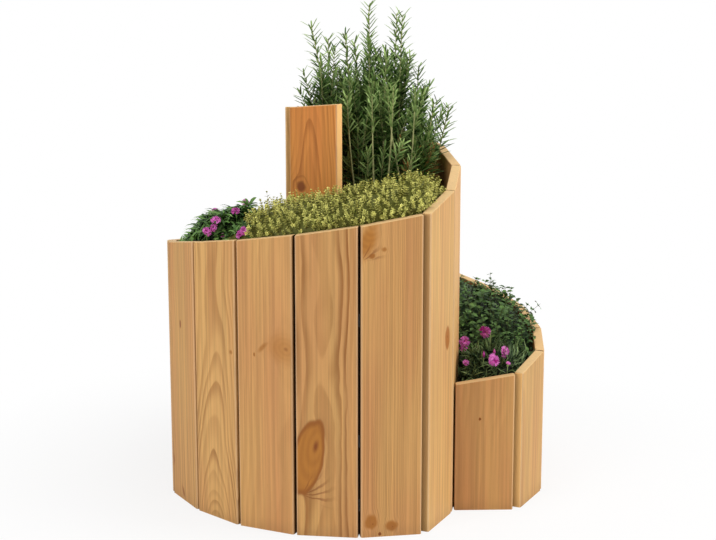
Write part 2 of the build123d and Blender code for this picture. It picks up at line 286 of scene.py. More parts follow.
def make_wood_group():
    """Softwood: growth rings round a leaning or bowed pith, streaks and fibres, knots, painted light on edges
    and ends, painted shade in joints.
    """
    graph, given, result = new_group("softwood", WOOD_INPUTS, ("Color", "Roughness", "Height"))
    vector, straight, pith, lean, bow, waist, ring_width, contrast = given[:8]
    rose, bright, warm, seed, cover, dark, left_side_shade_and_light, right_side_shade_and_light = given[8:]
    seeded = straight + graph.join(0.0, seed * 15000.0, seed * 400.0)
    x, y, z = straight.parts()

    def spots(across, along, detail=2.0, roughness=0.5):
        """Noise with so many changes for a millimetre across and along the board."""
        return (seeded * (across, across, along)).noise(1.0, detail, roughness)

    # The ring field wanders slowly along the board
    sway = spots(0.012, 0.0045, 1.0) * 22.0 - 11.0
    ripple = spots(0.05, 0.012) * 5.0 - 2.5
    aside, behind, above = (vector - pith).parts()
    across = aside + ripple
    depth = behind - lean * above + bow * abs(above - waist) ** 2.0 + sway
    radius = (across**2.0 + depth**2.0).calculate("SQRT")
    turns = radius / ring_width
    uneven = graph.join(turns * 0.31, seed, 0.0).noise(1.0, 1.0)
    turns = turns + uneven * 2.2
    phase = turns.calculate("FRACT")
    late = phase.step(0.20, 0.84) * phase.step(0.88, 1.0, 1.0, 0.0)
    number = turns.calculate("FLOOR") + seed * 91.0
    lottery = graph.value("ShaderNodeTexWhiteNoise", {"W": number}, "Value", noise_dimensions="1D")
    strength = (lottery * 0.75 + 0.25) * spots(0.02, 0.004).step(0.25, 0.7, 0.35, 1.15)
    late = late * strength * contrast

    # Streaks and fibres along the board
    fibre = spots(0.9, 0.011, 3.0, 0.6)
    streaks = spots(0.19, 0.0024, 2.0, 0.55)
    flecks = spots(1.6, 0.06, 1.0).step(0.62, 0.8)

    # Colour: slow zones of two tones, darker late wood, streaks
    zones = spots(0.022, 0.0022).step(0.3, 0.7, -0.45, 0.45) + rose
    colour = graph.mix(zones.at_least(0.0).at_most(1.0), HONEY, ROSE)
    colour = graph.mix(late * 0.85, colour, LATE_WOOD)
    tone = (fibre * 0.24 + 0.88) * streaks.step(0.28, 0.72, 0.87, 1.11) - flecks * 0.07
    colour = graph.tinted(colour, tone * bright)
    colour = graph.tinted(colour, graph.join(warm, warm, warm) * AMBER_SHIFT + (1.0, 1.0, 1.0))

    # Knots
    knot_wood = graph.mix(streaks * 0.5, KNOT_ORANGE, LATE_WOOD)
    colour = graph.mix(cover, colour, knot_wood)
    colour = graph.mix(dark, colour, KNOT_DARK)

    # Painted light and shade: the sawn ends that look up get a painted highlight, so do the rounded corners,
    # and the sides get painted shade deep in a joint and painted light where a side stands open
    up = graph.value("ShaderNodeNewGeometry", output="True Normal").parts()[2]
    # Faces that look up are painted paler: a painted highlight where the light falls from above
    colour = graph.mix(up.step(0.5, 0.8, 0.0, 0.6), colour, PAINTED_TOP_HIGHLIGHT)
    out = abs(x)
    sharp = HALF_WIDTH + HALF_THICKNESS - CHAMFER
    # The rounded long corners are painted paler: a painted highlight along the edges
    edge_highlight = (out + abs(y)).step(sharp - EDGE_HIGHLIGHT_REACH, sharp, 0.0, 0.30)
    colour = graph.mix(edge_highlight, colour, PAINTED_EDGE_HIGHLIGHT)
    # The sides get painted shade that deepens into the joint, by each side's value from the tables
    side = (out > HALF_WIDTH - SIDE_DEPTH) * ((x < 0.0) * left_side_shade_and_light + (x > 0.0) * right_side_shade_and_light)
    joint_shade = side * y.step(CHAMFER - HALF_THICKNESS, 0.5, 0.25, 0.96)
    colour = graph.mix(joint_shade.at_least(0.0), colour, PAINTED_JOINT_SHADE)
    # A side with a value below 0 is painted paler instead: painted light on an open side face
    colour = graph.mix((side * -0.9).at_least(0.0), colour, PAINTED_SIDE_LIGHT)

    # Darker towards the foot, in patches
    damp = z.step(0.0, FOOT_DARKER_HEIGHT, 0.30, 0.0) * spots(0.03, 0.05)
    colour = graph.mix(damp, colour, FOOT_DARKER)
    rough = fibre * 0.16 + 0.52 - late * 0.10 - cover * 0.10
    height = fibre * 0.55 + late * 0.5 + cover * 0.3
    graph.fill(result, (colour, rough, height))
    return graph.tree


# Grain of single boards: pith across and behind, lean, bow, waist, ring width, contrast, rose, bright, warm
GRAIN = {
    1: (70, 160, 0.02, 0, 0, 7, 0.20, 0.55, 0.90, 0.05),
    2: (-60, 90, 0.01, 0, 0, 7, 0.25, 0.2, 0.93, -0.22),
    3: (40, 70, 0.02, 0, 0, 6, 0.40, 0.3, 1, 0),
    15: (-95, 60, 0.010, 0, 0, 6.5, 0.60, 0.30, 1, 0),
    16: (-6, 74, 0, 0.00024, 470, 6.5, 1.10, 0.15, 1.06, -0.06),
    17: (60, 150, 0.020, 0, 0, 8, 0.25, 0.55, 1, 0),
    18: (-12, 62, 0, 0, 0, 7, 1.05, 0.35, 0.97, 0),
    19: (-230, 40, 0.005, 0, 0, 4.2, 0.45, 0.55, 0.95, 0),
    20: (120, 60, 0.010, 0, 0, 11, 0.35, 0.25, 1.03, -0.28),
    21: (-70, 60, 0.010, 0, 0, 8, 0.35, 0.30, 1.05, -0.22),
    22: (30, 40, 0.030, 0, 0, 6, 0.50, 0.60, 0.96, 0),
    27: (-12, 37.5, 0, -0.00012, 480, 6, 0.75, 0.75, 0.96, 0.95),
}
# Knots: board, across, height, half width, half height, tilt in degrees,
# strength, darkness, softness, rim, core across and up in half sizes
KNOTS = (
    (1, -10, 193, 2.5, 3, 0, 1, 0.7, 0.3, 0, 0, 0),
    (15, -6, 376, 3.5, 8, 0, 0.9, 0.7, 0.4, 0, 0, 0),
    (15, -57, 75, 5, 11, 0, 0.9, 0.6, 0.5, 0, 0, 0),
    (15, -8, 18, 4, 12, -25, 0.8, 0.5, 0.5, 0, 0, 0),
    (16, 48, 352, 4, 4, 0, 0.7, 0.35, 0.5, 0, 0, 0),
    (17, 40, 372, 30, 24, 20, 0.55, 0, 0.8, 0, 0.2, 0.1),
    (17, 9, 371, 5, 15, 55, 0.65, 0.30, 0.6, 0, 0, 0.3),
    (17, -15, 355, 3, 4, 0, 0.8, 0.45, 0.4, 0, 0, 0),
    (18, -38, 158, 31, 77, 13, 1, 0, 0.06, 0.50, 0.34, 0.36),
    (19, -48, 586, 15, 32, 20, 0.95, 0, 0.6, 0, 0, 2),
    (19, -42, 558, 5, 5, 0, 0.9, 0.45, 0.5, 0, 0, 2),
    (19, -18, 570, 6, 4, 0, 0.7, 0.35, 0.5, 0, 0, 0),
    (19, -40, 31, 12, 14, 0, 0.9, 0.28, 0.30, 0, 0.3, -0.3),
    (19, 0, 21, 12, 10, 0, 0.9, 0.34, 0.35, 0, 0.2, -0.2),
    (19, -23, 6, 3.5, 3.5, 0, 1, 0.8, 0.3, 0, 0, 0),
    (20, 30, 373, 11, 23, 0, 1, 0.30, 0.25, 0.35, 0, 0.1),
    (27, -30, 657, 10.5, 10.5, 0, 0.95, 0.80, 0.35, 0.3, 0, 0),
    (27, -30, 657, 17, 22, 0, 0.15, 0, 0.5, 0.25, 0, 9),
)
# How much painted shade a side face gets deep in the joint with its neighbour, where that isn't 1: less where
# it stands open at a sharp bend, and below 0 it gets painted light, paler than the board's face, as at the
# spiral's free end
LEFT_SIDE_SHADE_AND_LIGHT = {1: 0.25, 2: -1.0, 16: 0.2, 17: 0.45, 20: 0.0}
RIGHT_SIDE_SHADE_AND_LIGHT = {15: 0.2, 16: 0.45, 26: 0.15, 27: -1.0}
# Torn grain that spreads from the foot of a knot: board, across, height, angles in degrees, reach, lines
FANS = (
    (18, -50, 84, -25, 62, 76, 19),
    (19, -60, 548, 8, 62, 56, 13),
)
FAN_BORDER = 6.0  # degrees over which the lines fade at either side
FAN_DARKNESS = 0.55


def points_of(node):
    """Points of a CAD node as an array, in metres."""
    mesh = NODES[node].data
    points = np.empty(len(mesh.vertices) * 3)
    mesh.vertices.foreach_get("co", points)
    return points.reshape(-1, 3)


def board_frame(node):
    """Middle of a board at the ground and its heading: the way along its width in which its top rises."""
    points = points_of(node)
    foot = points[points[:, 2] < LEVEL][:, :2]
    along = np.linalg.svd(foot - foot.mean(0))[2][0]
    top = points[points[:, 2] > points[:, 2].max() * 0.5]
    if np.polyfit(top[:, :2] @ along, top[:, 2], 1)[0] < 0:
        along = -along
    side = np.array([-along[1], along[0]])
    middle = np.zeros(2)
    for axis in (along, side):
        reach = foot @ axis
        middle += axis * (reach.min() + reach.max()) / 2
    return middle, math.atan2(along[1], along[0])


def fan_lines(place, across, height, low, high, reach, lines):
    """Dark lines that spread from one point between two angles."""
    x, _, z = (place - (across, 0.0, height)).parts()
    angle = z.calculate("ARCTAN2", x)
    away = place.graph.join(x, 0.0, z).length()
    wave = (place * (0.05, 0.0, 0.05)).noise()
    curve = away * -0.004 + angle + wave * 0.25
    stripes = (curve * lines).calculate("SINE").step(0.0, 1.0)
    stripes = stripes * away.step(3.0, 12.0) * away.step(reach * 0.4, reach, 1.0, 0.0)
    for limit, first, last in ((low, 0.0, 1.0), (high, 1.0, 0.0)):
        borders = (math.radians(limit - FAN_BORDER), math.radians(limit + FAN_BORDER))
        stripes = stripes * angle.step(*borders, first, last)
    return stripes * FAN_DARKNESS


def drawn_grain(rng):
    """Grain of a board that has none in the table."""
    drawn = rng.random(8)
    return (
        (drawn[0] - 0.5) * 120.0,
        30.0 + 60.0 * drawn[1],
        0.03 * drawn[2],
        0.0003 * drawn[7],
        300.0,
        5.0 + 3.0 * drawn[3],
        0.4 + 0.5 * drawn[4],
        0.1 + 0.6 * drawn[5],
        0.95 + 0.10 * drawn[6],
        0.0,
    )


def drawn_knots(rng, top):
    """Up to two knots on a board that has no grain in the table, below its top."""
    knots = []
    for size in rng.uniform(4.0, 11.0, rng.integers(0, 3)):
        spot = (rng.uniform(-45.0, 45.0), rng.uniform(30.0, top - 60.0))
        shape = (size, size * rng.uniform(1.1, 1.8), rng.uniform(-15.0, 15.0))
        knots.append((*spot, *shape, 0.9, rng.uniform(0.0, 0.5), rng.uniform(0.1, 0.4), 0.3, 0.1, 0.1))
    return knots


def dress_board(number, wood, knot, rng):
    """Gives one board its own piece of the shared softwood, in its own frame."""
    node = BOARDS[number]
    middle, heading = board_frame(node)
    material, graph, shader = new_material(f"softwood_{number:02d}")
    local = {
        "Vector": graph.place(),
        "Location": (*middle, 0.0),
        "Rotation": (0.0, 0.0, heading),
        "Scale": (MM, MM, MM),
    }
    straight = graph.value("ShaderNodeMapping", local, vector_type="TEXTURE")

    # Every board draws a grain, also one that is in the table
    grain = drawn_grain(rng)
    knots = [item[1:] for item in KNOTS if item[0] == number]
    if number in GRAIN:
        grain = GRAIN[number]
    else:
        knots += drawn_knots(rng, points_of(node)[:, 2].max() / MM)

    vector, cover, dark = straight, 0.0, 0.0
    for x, z, half_width, half_height, tilt, *marks, core_x, core_z in knots:
        shape = ((x, 0.0, z), (half_width, 1.0, half_height), math.radians(-tilt))
        inputs = (vector, cover, dark, *shape, *marks, (core_x, 0.0, core_z))
        vector, cover, dark = graph.values("ShaderNodeGroup", inputs, node_tree=knot)
    for fan in FANS:
        if fan[0] == number:
            dark = fan_lines(straight, *fan[1:]).at_least(dark)

    across, behind, *rings = grain
    # Painted shade and light for the board's two side faces
    joints = (LEFT_SIDE_SHADE_AND_LIGHT.get(number, 1.0), RIGHT_SIDE_SHADE_AND_LIGHT.get(number, 1.0))
    seed = FIRST_SEED + number * SEED_STEP
    inputs = (vector, straight, (across, behind, 0.0), *rings, seed, cover, dark, *joints)
    colour, rough, height = graph.values("ShaderNodeGroup", inputs, node_tree=wood)
    looks = {
        "Base Color": colour,
        "Roughness": rough,
        "Normal": graph.bump(height, GRAIN_RELIEF, GRAIN_BUMP),
        "Specular IOR Level": WOOD_GLOSS,
    }
    graph.fill(shader, looks)
    paint(NODES[node], material)


STEEL_DARK = linear(126, 130, 134)
STEEL_PALE = linear(156, 159, 162)


def dress_steel():
    """Galvanised steel: soft crystal flakes in slightly different greys."""
    material, graph, shader = new_material("galvanised_steel")
    place = graph.place()
    flakes = graph.value("ShaderNodeTexVoronoi", {"Vector": place, "Scale": 160.0}, "Color")
    looks = {
        "Base Color": graph.mix(flakes.parts()[0], STEEL_DARK, STEEL_PALE),
        "Roughness": place.noise(40.0, 3.0) * 0.25 + 0.42,
        "Metallic": 1.0,
    }
    graph.fill(shader, looks)
    for level in ("lower", "middle", "upper"):
        for kind in ("band", "band_screws"):
            paint(NODES[f"{level}_{kind}"], material)


# Herbs: every leaf takes one cell of a row of tints, u across the leaf within its cell and v along it
TINT_CELLS = 16
STEM_TINT = 14
SHADE_TINT = 15
LAST_TINT = STEM_TINT - 1
CELL_MARGIN = 0.08
LEAF_ROUGHNESS = 0.6
LEAF_GLOSS = 0.15
# Darkest and brightest tint, stem, painted shade inside a cushion (in the rosemary, dry twigs), and how much
# paler the rib is
LEAF_COLOURS = {
    "rosemary_leaf": ((58, 94, 34), (176, 204, 124), (190, 192, 132), (156, 116, 64), -0.20),
    "thyme_leaf": ((127, 131, 52), (241, 237, 136), (150, 128, 68), (96, 98, 40), 0.10),
    "oregano_leaf": ((28, 50, 22), (106, 144, 74), (92, 98, 60), (28, 47, 22), 0.25),
    "left_pinks_leaf": ((32, 62, 24), (134, 178, 92), (96, 120, 70), (24, 32, 14), 0.22),
    "right_pinks_leaf": ((26, 48, 22), (150, 176, 116), (130, 150, 96), (22, 28, 14), 0.15),
}
PETAL_DEEP = linear(164, 24, 124)
PETAL_PALE = linear(236, 130, 214)
PETAL_CLAW = linear(110, 14, 84)
PETAL_TEETH = linear(242, 170, 228)
PETAL_VEINS = 5

# Leaf outlines: (share of the length, half width as a share of the width) from foot to tip
NEEDLE = ((0.0, 0.25), (0.12, 0.48), (0.78, 0.42), (1.0, 0.06))
LANCE = ((0.0, 0.10), (0.22, 0.36), (0.5, 0.5), (0.78, 0.34), (1.0, 0.03))
BLADE = ((0.0, 0.40), (0.3, 0.5), (0.7, 0.38), (1.0, 0.04))
OVAL = ((0.0, 0.08), (0.3, 0.44), (0.62, 0.46), (1.0, 0.05))
TINY = ((0.0, 0.12), (0.5, 0.5), (1.0, 0.08))

ODD_WAY = (0.31, 0.87, 0.11)  # a way that no stem takes, to find what is square to one
ROSETTE_TURN = 2.4  # from one leaf of a tuft to the next
ANY_TURN = 6.3
STEM_TAPER = 0.6  # of a stem's radius, lost towards its tip
STEM_ROOM = 1.5  # stem radii to either side that have to be free
WELD = 1e-5
LEVEL = 1e-4  # points this near to a level count as on it


def unit(vectors):
    """Vectors of length one."""
    vectors = np.asarray(vectors, float)
    return vectors / np.linalg.norm(vectors, axis=-1, keepdims=True)


def around(axes, turns):
    """Unit vectors square to the axes, at the given turns about them."""
    first = unit(np.cross(axes, ODD_WAY))
    second = np.cross(axes, first)
    return first * np.cos(turns)[:, None] + second * np.sin(turns)[:, None]


def leaning(axes, outward, angles):
    """Ways from the axes outward at the given angles, and the ways square to them."""
    sines = np.sin(angles)[:, None]
    cosines = np.cos(angles)[:, None]
    return axes * cosines + outward * sines, axes * sines - outward * cosines


class Leaf:
    """Leaf of unit size in rows of points: across and fold in widths, along and off it in lengths."""

    def __init__(self, columns, across, along, off, fold, shares):
        self.columns = columns
        self.across = across
        self.along = along
        self.off = off
        self.fold = fold
        self.uv = np.stack([across + 0.5, shares], axis=1)
        rows = len(across) // columns
        corners = [columns * row + column for row in range(rows - 1) for column in range(columns - 1)]
        self.quads = np.array([(at, at + 1, at + columns + 1, at + columns) for at in corners])


def green_leaf(outline, fold, arch):
    """Leaf with a rib: the fold lifts its edges and the arch bends it back."""
    shares = np.repeat([share for share, _ in outline], 3)
    across = np.concatenate([(-half, 0.0, half) for _, half in outline])
    along = np.sin(arch * shares) / arch
    off = -(1.0 - np.cos(arch * shares)) / arch
    return Leaf(3, across, along, off, np.abs(across) * fold, shares)


def make_petal():
    """Petal of a pink: a narrow claw and a broad, toothed end."""
    columns = np.linspace(-0.5, 0.5, 7)
    rows = ((0.0, 0.12), (0.35, 0.30), (0.65, 0.80), (0.88, 1.0), (1.0, 0.96))
    across, along = [], []
    for share, breadth in rows:
        for index, column in enumerate(columns):
            tooth = 0.22 * (index % 2) if share == 1.0 else 0.0
            across.append(column * breadth)
            along.append(share - tooth - 0.25 * share * column**2)
    across = np.array(across)
    along = np.array(along)
    off = 0.10 * along - 0.22 * along**2
    ruffle = 0.06 * np.cos(across * 14.0)
    return Leaf(len(columns), across, along, off, ruffle, np.clip(along, 0.0, 1.0))


def welded(node, distance=WELD):
    """Working copy of a CAD node's mesh, with points joined that are nearer than a distance."""
    made = bmesh.new()
    made.from_mesh(NODES[node].data)
    bmesh.ops.remove_doubles(made, verts=made.verts, dist=distance)
    return made


class Plant:
    """Collects the leaves and stems of one piece. With over_rim off, no leaf lies above a board."""

    def __init__(self, leaf, rng, over_rim=True):
        self.leaf = leaf
        self.rng = rng
        self.over_rim = over_rim
        self.points, self.quads, self.uvs, self.total = [], [], [], 0

    def add(self, points, quads, uvs):
        self.points.append(points)
        self.quads.append(quads + self.total)
        self.uvs.append(uvs)
        self.total += len(points)

    def leaves(self, feet, alongs, normals, lengths, widths, tints):
        """Copies of the leaf, one for each row of the arrays, without those that would reach into a board."""
        leaf = self.leaf
        feet = np.broadcast_to(feet, alongs.shape)
        sides = np.cross(alongs, normals)
        lengths = lengths[:, None, None]
        widths = widths[:, None, None]
        points = feet[:, None] + sides[:, None] * leaf.across[:, None] * widths
        points = points + alongs[:, None] * leaf.along[:, None] * lengths
        points = points + normals[:, None] * (leaf.off[:, None] * lengths + leaf.fold[:, None] * widths)
        free = [self.fits(lines) for lines in points.reshape(len(points), -1, leaf.columns, 3)]
        points, tints = points[free], tints[free]
        count, size = points.shape[:2]
        quads = leaf.quads[None] + size * np.arange(count)[:, None, None]
        cells = (tints[:, None] + CELL_MARGIN + (1 - 2 * CELL_MARGIN) * leaf.uv[None, :, 0]) / TINT_CELLS
        heights = np.repeat(leaf.uv[None, :, 1], count, axis=0)
        uvs = np.stack([cells, heights], axis=2)[:, leaf.quads]
        self.add(points.reshape(-1, 3), quads.reshape(-1, 4), uvs.reshape(-1, 4, 2))

    def fits(self, lines):
        """Whether the rib and edges of a leaf meet no board, and none lies under it where that is asked."""
        middle = lines.shape[1] // 2
        for column in (0, middle, -1):
            if not clear(*lines[:, column]):
                return False
        return self.over_rim or within(*lines[1:, middle])

    def stem(self, path, radii, tint, sides):
        """Tapered tube along a path."""
        tangents = unit(np.gradient(path, axis=0))
        ring = around(tangents[:, None], np.arange(sides) * 2 * np.pi / sides)
        points = path[:, None] + ring * np.asarray(radii)[:, None, None]
        quads, uvs = [], []
        for row in range(len(path) - 1):
            low, high = row * sides, (row + 1) * sides
            spot = ((tint + 0.5) / TINT_CELLS, row / (len(path) - 1))
            for side in range(sides):
                after = (side + 1) % sides
                quads.append((low + side, low + after, high + after, high + side))
                uvs.append([spot] * 4)
        self.add(points.reshape(-1, 3), np.array(quads), np.array(uvs))

    def shade(self, node, inset):
        """Painted shade inside a cushion: a dark copy of the CAD node's triangles moved in by an inset."""
        made = welded(node)
        bmesh.ops.recalc_face_normals(made, faces=made.faces)
        made.normal_update()
        points = np.array([vert.co - vert.normal * inset for vert in made.verts])
        # A triangle is kept as a quad that names its last corner twice
        quads = np.array([[vert.index for vert in face.verts] + [face.verts[2].index] for face in made.faces])
        made.free()
        self.add(points, quads, np.full((len(quads), 4, 2), ((SHADE_TINT + 0.5) / TINT_CELLS, 0.5)))

    def sprig(self, foot, heading, length, bend, spec):
        """One stem with leaves in whorls. The spec gives spacing, leaves in a whorl, and ranges."""
        rng = self.rng

        def along_stem(shares):
            return foot + np.outer(shares, heading) * length + np.outer(shares**2, bend) * length

        shares = np.linspace(0.0, 1.0, spec["joints"])
        path = along_stem(shares)
        if not clear(path[0], path[len(path) // 2], path[-1]):
            return
        # A stem that grazes a board is left out, but its leaves still draw their random numbers
        nudges = np.array(((1, 0, 0), (-1, 0, 0), (0, 1, 0), (0, -1, 0))) * spec["stem"] * STEM_ROOM
        free = all(clear(*(path + nudge)) for nudge in nudges)
        plant = self if free else Plant(self.leaf, rng)
        radii = spec["stem"] * (1.0 - STEM_TAPER * shares)
        plant.stem(path, radii, spec.get("stem_tint", STEM_TINT), spec["sides"])
        count = max(2, int(length * (1.0 - spec["bare"]) / spec["spacing"]))
        levels = spec["bare"] + (1.0 - spec["bare"]) * (np.arange(count) + 0.7) / (count + 0.2)
        whorl = spec["whorl"]
        at = np.repeat(levels, whorl)
        tangents = unit(heading + 2.0 * np.outer(at, bend))
        turns = np.repeat(np.arange(count) * spec["turn"], whorl)
        turns = turns + np.tile(np.arange(whorl), count) * 2 * np.pi / whorl
        turns = turns + rng.uniform(0, 2 * np.pi) + rng.normal(0.0, 0.25, len(at))
        low, high = spec["angles"]
        angles = low + (high - low) * at + rng.normal(0.0, 0.12, len(at))
        alongs, normals = leaning(tangents, around(tangents, turns), angles)
        lengths = rng.uniform(*spec["lengths"], len(at)) * (1.0 - spec["tip_shrink"] * at**3)
        tints = spec["tint"] + spec["tint_rise"] * at + rng.normal(0.0, spec["tint_spread"], len(at))
        tints = np.clip(np.floor(tints + spec.get("shift", 0.0)), 0, spec.get("last_tint", LAST_TINT))
        plant.leaves(along_stem(at), alongs, normals, lengths, lengths * spec["width"], tints)

    def tuft(self, foot, normal, spec):
        """Rosette of arching leaves from one point."""
        rng = self.rng
        count = spec["count"]
        turns = np.arange(count) * ROSETTE_TURN + rng.uniform(0, ANY_TURN) + rng.normal(0.0, 0.3, count)
        tilts = rng.uniform(*spec["tilts"], count)
        axis = unit(normal * 0.7 + UP + rng.normal(0.0, 0.15, 3))
        alongs, normals = leaning(axis, around(axis, turns), tilts)
        lengths = rng.uniform(*spec["lengths"], count)
        widths = lengths * spec["width"] * rng.uniform(0.85, 1.15, count)
        tints = np.clip(np.floor(spec["tint"] + rng.normal(0.0, spec["tint_spread"], count)), 0, LAST_TINT)
        self.leaves(foot, alongs, normals, lengths, widths, tints)

    def piece(self, name, material, slot, *replaced):
        """One object of all that was collected, riding on the part."""
        points = np.concatenate(self.points)
        quads = np.concatenate(self.quads)
        uvs = np.concatenate(self.uvs)
        mesh = bpy.data.meshes.new(name)
        corners = [tuple(dict.fromkeys(quad)) for quad in quads.tolist()]  # without corners named twice
        mesh.from_pydata(points, [], corners)
        layer = mesh.uv_layers.new(name=UV_LAYER)
        flat = np.concatenate([uv[: len(corner)] for uv, corner in zip(uvs, corners)])
        layer.data.foreach_set("uv", flat.astype(np.float32).ravel())
        mesh.polygons.foreach_set("use_smooth", np.ones(len(corners), bool))
        made = add_object(name, mesh)
        paint(made, material)
        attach(made, "root")
        if replaced:
            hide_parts(*replaced)


def leaf_material(name):
    """Tints from dark to bright, then the stem and the painted shade inside (in the rosemary, dry twigs); a
    paler or darker rib, a darker foot.
    """
    dark, bright, stem, shade_and_dry_twigs, rib = LEAF_COLOURS[name]
    material, graph, shader = new_material(name)
    u, v, _ = graph.value("ShaderNodeUVMap", uv_map=UV_LAYER).parts()
    colours = []
    for cell in range(STEM_TINT):
        share = cell / LAST_TINT
        colours.append([low + (high - low) * share for low, high in zip(linear(*dark), linear(*bright))])
    colours += [linear(*stem), linear(*shade_and_dry_twigs)]
    ramp = graph.node("ShaderNodeValToRGB", [u])
    ramp.color_ramp.interpolation = "CONSTANT"
    elements = ramp.color_ramp.elements
    while len(elements) < TINT_CELLS:
        elements.new(1.0)
    for cell, colour in enumerate(colours):
        elements[cell].position = cell / TINT_CELLS
        elements[cell].color = colour
    from_rib = abs((u * float(TINT_CELLS)).calculate("FRACT") - 0.5)
    light = from_rib.step(0.0, 0.10, 1.0 + rib, 1.0) * v.step(0.0, 0.8, 0.62, 1.08)
    looks = {
        "Base Color": graph.tinted(Value(graph, ramp.outputs[0]), light),
        "Roughness": from_rib.step(0.0, 0.5, LEAF_ROUGHNESS - 0.08, LEAF_ROUGHNESS + 0.06),
        "Specular IOR Level": LEAF_GLOSS,
    }
    graph.fill(shader, looks)
    return material


def petal_material():
    """Magenta petals, darker at the claw and paler at the teeth."""
    material, graph, shader = new_material("pink_petal")
    u, v, _ = graph.value("ShaderNodeUVMap", uv_map=UV_LAYER).parts()
    cell = (u * float(TINT_CELLS)).calculate("FLOOR")
    colour = graph.mix(cell / float(LAST_TINT), PETAL_DEEP, PETAL_PALE)
    colour = graph.mix(v.step(0.45, 0.15, 0.0, 0.75), colour, PETAL_CLAW)
    colour = graph.mix(v.step(0.75, 1.0, 0.0, 0.3), colour, PETAL_TEETH)
    veins = (u * (2 * math.pi * TINT_CELLS * PETAL_VEINS)).calculate("SINE")
    looks = {
        "Base Color": graph.tinted(colour, veins * 0.06 + 0.97),
        "Roughness": v.step(0.0, 1.0, 0.65, 0.5),
        "Specular IOR Level": 0.2,
    }
    graph.fill(shader, looks)
    return material


def make_walls():
    """Search tree of all the boards."""
    points, faces = [], []
    for node in BOARDS.values():
        mesh = NODES[node].data
        first = len(points)
        points += [vert.co[:] for vert in mesh.vertices]
        faces += [[first + corner for corner in face.vertices] for face in mesh.polygons]
    return BVHTree.FromPolygons(points, faces)


WALLS = make_walls()
CLEARANCE = 0.002
LEAST_AREA = 1e-12
TRIES = 9  # random places for each square of the spacing
RIM_DROP = 0.10  # how far below a leaf a board counts as under it


def meets_board(start, way, reach):
    """Whether a straight way meets a board within a reach."""
    return WALLS.ray_cast(Vector(start), Vector(way), reach)[0] is not None


def clear(*stops):
    """Whether the way from stop to stop meets no board."""
    for start, end in zip(stops, stops[1:]):
        way = Vector(end - start)
        if meets_board(start, way.normalized(), way.length + CLEARANCE):
            return False
    return True


def within(*stops):
    """Whether none of the stops lies over a board."""
    return not any(meets_board(stop, -UP, RIM_DROP) for stop in stops)


def surface_of(node, least_up):
    """Triangles of a CAD node that don't look down further than a limit: corners, normals and areas."""
    mesh = NODES[node].data
    mesh.calc_loop_triangles()
    points = points_of(node)
    corners = np.array([triangle.vertices[:] for triangle in mesh.loop_triangles])
    triangles = points[corners]
    normals = np.cross(triangles[:, 1] - triangles[:, 0], triangles[:, 2] - triangles[:, 0])
    areas = np.linalg.norm(normals, axis=1)
    sound = areas > LEAST_AREA
    triangles, normals, areas = triangles[sound], normals[sound], areas[sound]
    normals = normals / areas[:, None]
    up = normals[:, 2] > least_up
    return triangles[up], normals[up], areas[up] / 2


def spread_points(node, spacing, rng, least_up=-0.2, room=0.022):
    """Points on the open sides of a CAD node and their normals, none nearer to another than the spacing."""
    triangles, normals, areas = surface_of(node, least_up)
    tries = int(areas.sum() / spacing**2 * TRIES)
    chosen = rng.choice(len(areas), tries, p=areas / areas.sum())
    first, second = np.sqrt(rng.random(tries)), rng.random(tries)
    weights = np.stack([1 - first, first * (1 - second), first * second], axis=1)
    candidates = (triangles[chosen] * weights[:, :, None]).sum(1)
    kept = []
    taken = np.empty((tries, 3))
    for index, point in enumerate(candidates):
        near = taken[: len(kept)] - point
        if len(kept) == 0 or (near * near).sum(1).min() > spacing**2:
            normal = normals[chosen[index]]
            if not meets_board(point + normal * MM, normal, room):
                taken[len(kept)] = point
                kept.append(index)
    return candidates[kept], normals[chosen[kept]]


def on_cushion(node, x, y):
    """Point of a cushion's upper side above a place in millimetres."""
    hit, place, _, _ = NODES[node].ray_cast(Vector((x * MM, y * MM, 2.0)), Vector((0, 0, -1)))
    if not hit:
        raise ValueError(f"no {node} at {x}, {y}")
    return np.array(place)


def loose_parts(node):
    """Points of each separate solid of a CAD node, in the order of the mesh."""
    made = welded(node, WELD / 10)
    made.verts.ensure_lookup_table()
    made.verts.index_update()
    seen = [False] * len(made.verts)
    parts = []
    for start in made.verts:
        if seen[start.index]:
            continue
        seen[start.index] = True
        waiting, part = [start], []
        while waiting:
            vert = waiting.pop()
            part.append(vert.co[:])
            for edge in vert.link_edges:
                other = edge.other_vert(vert)
                if not seen[other.index]:
                    seen[other.index] = True
                    waiting.append(other)
        parts.append(np.array(part))
    made.free()
    return parts


BED_MIDDLE = np.array([0.038, -0.086])
BED_REACH = 0.112  # how far from the middle a shoot may stand below the rim of the inner turn
BED_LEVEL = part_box("soil")[1][2]
INNER_RIM = 0.78
SIDE_SHOOTS = 14  # on each main shoot
SHORT_SHOOT = 0.05
LONG_SHOOT = 0.21
FOOT_DEPTH = 0.006
YOUNG_SHOOTS = 46
DRY_TWIGS = 36
# Front stems of the rosemary: foot across and along the bed in millimetres, lean to the right
FRONT_STEMS = ((1, -176, -0.14), (38, -182, -0.04), (62, -178, 0.10), (100, -166, -0.28), (106, -164, 0.10))
# How far a shoot of a given height sways to the right and up, all in millimetres
TIP_SWAYS = {979: (-24, 0), 985: (-20, -25), 1007: (24, -8), 1000: (-8, 0), 895: (-8, 0), 850: (0, -20)}


def keep_in_bed(point):
    """Moves a point below the inner turn's rim back over the top bed."""
    away = point[:2] - BED_MIDDLE
    far = np.linalg.norm(away)
    if point[2] < INNER_RIM and far > BED_REACH:
        point = point.copy()
        point[:2] = BED_MIDDLE + away * BED_REACH / far
    return point


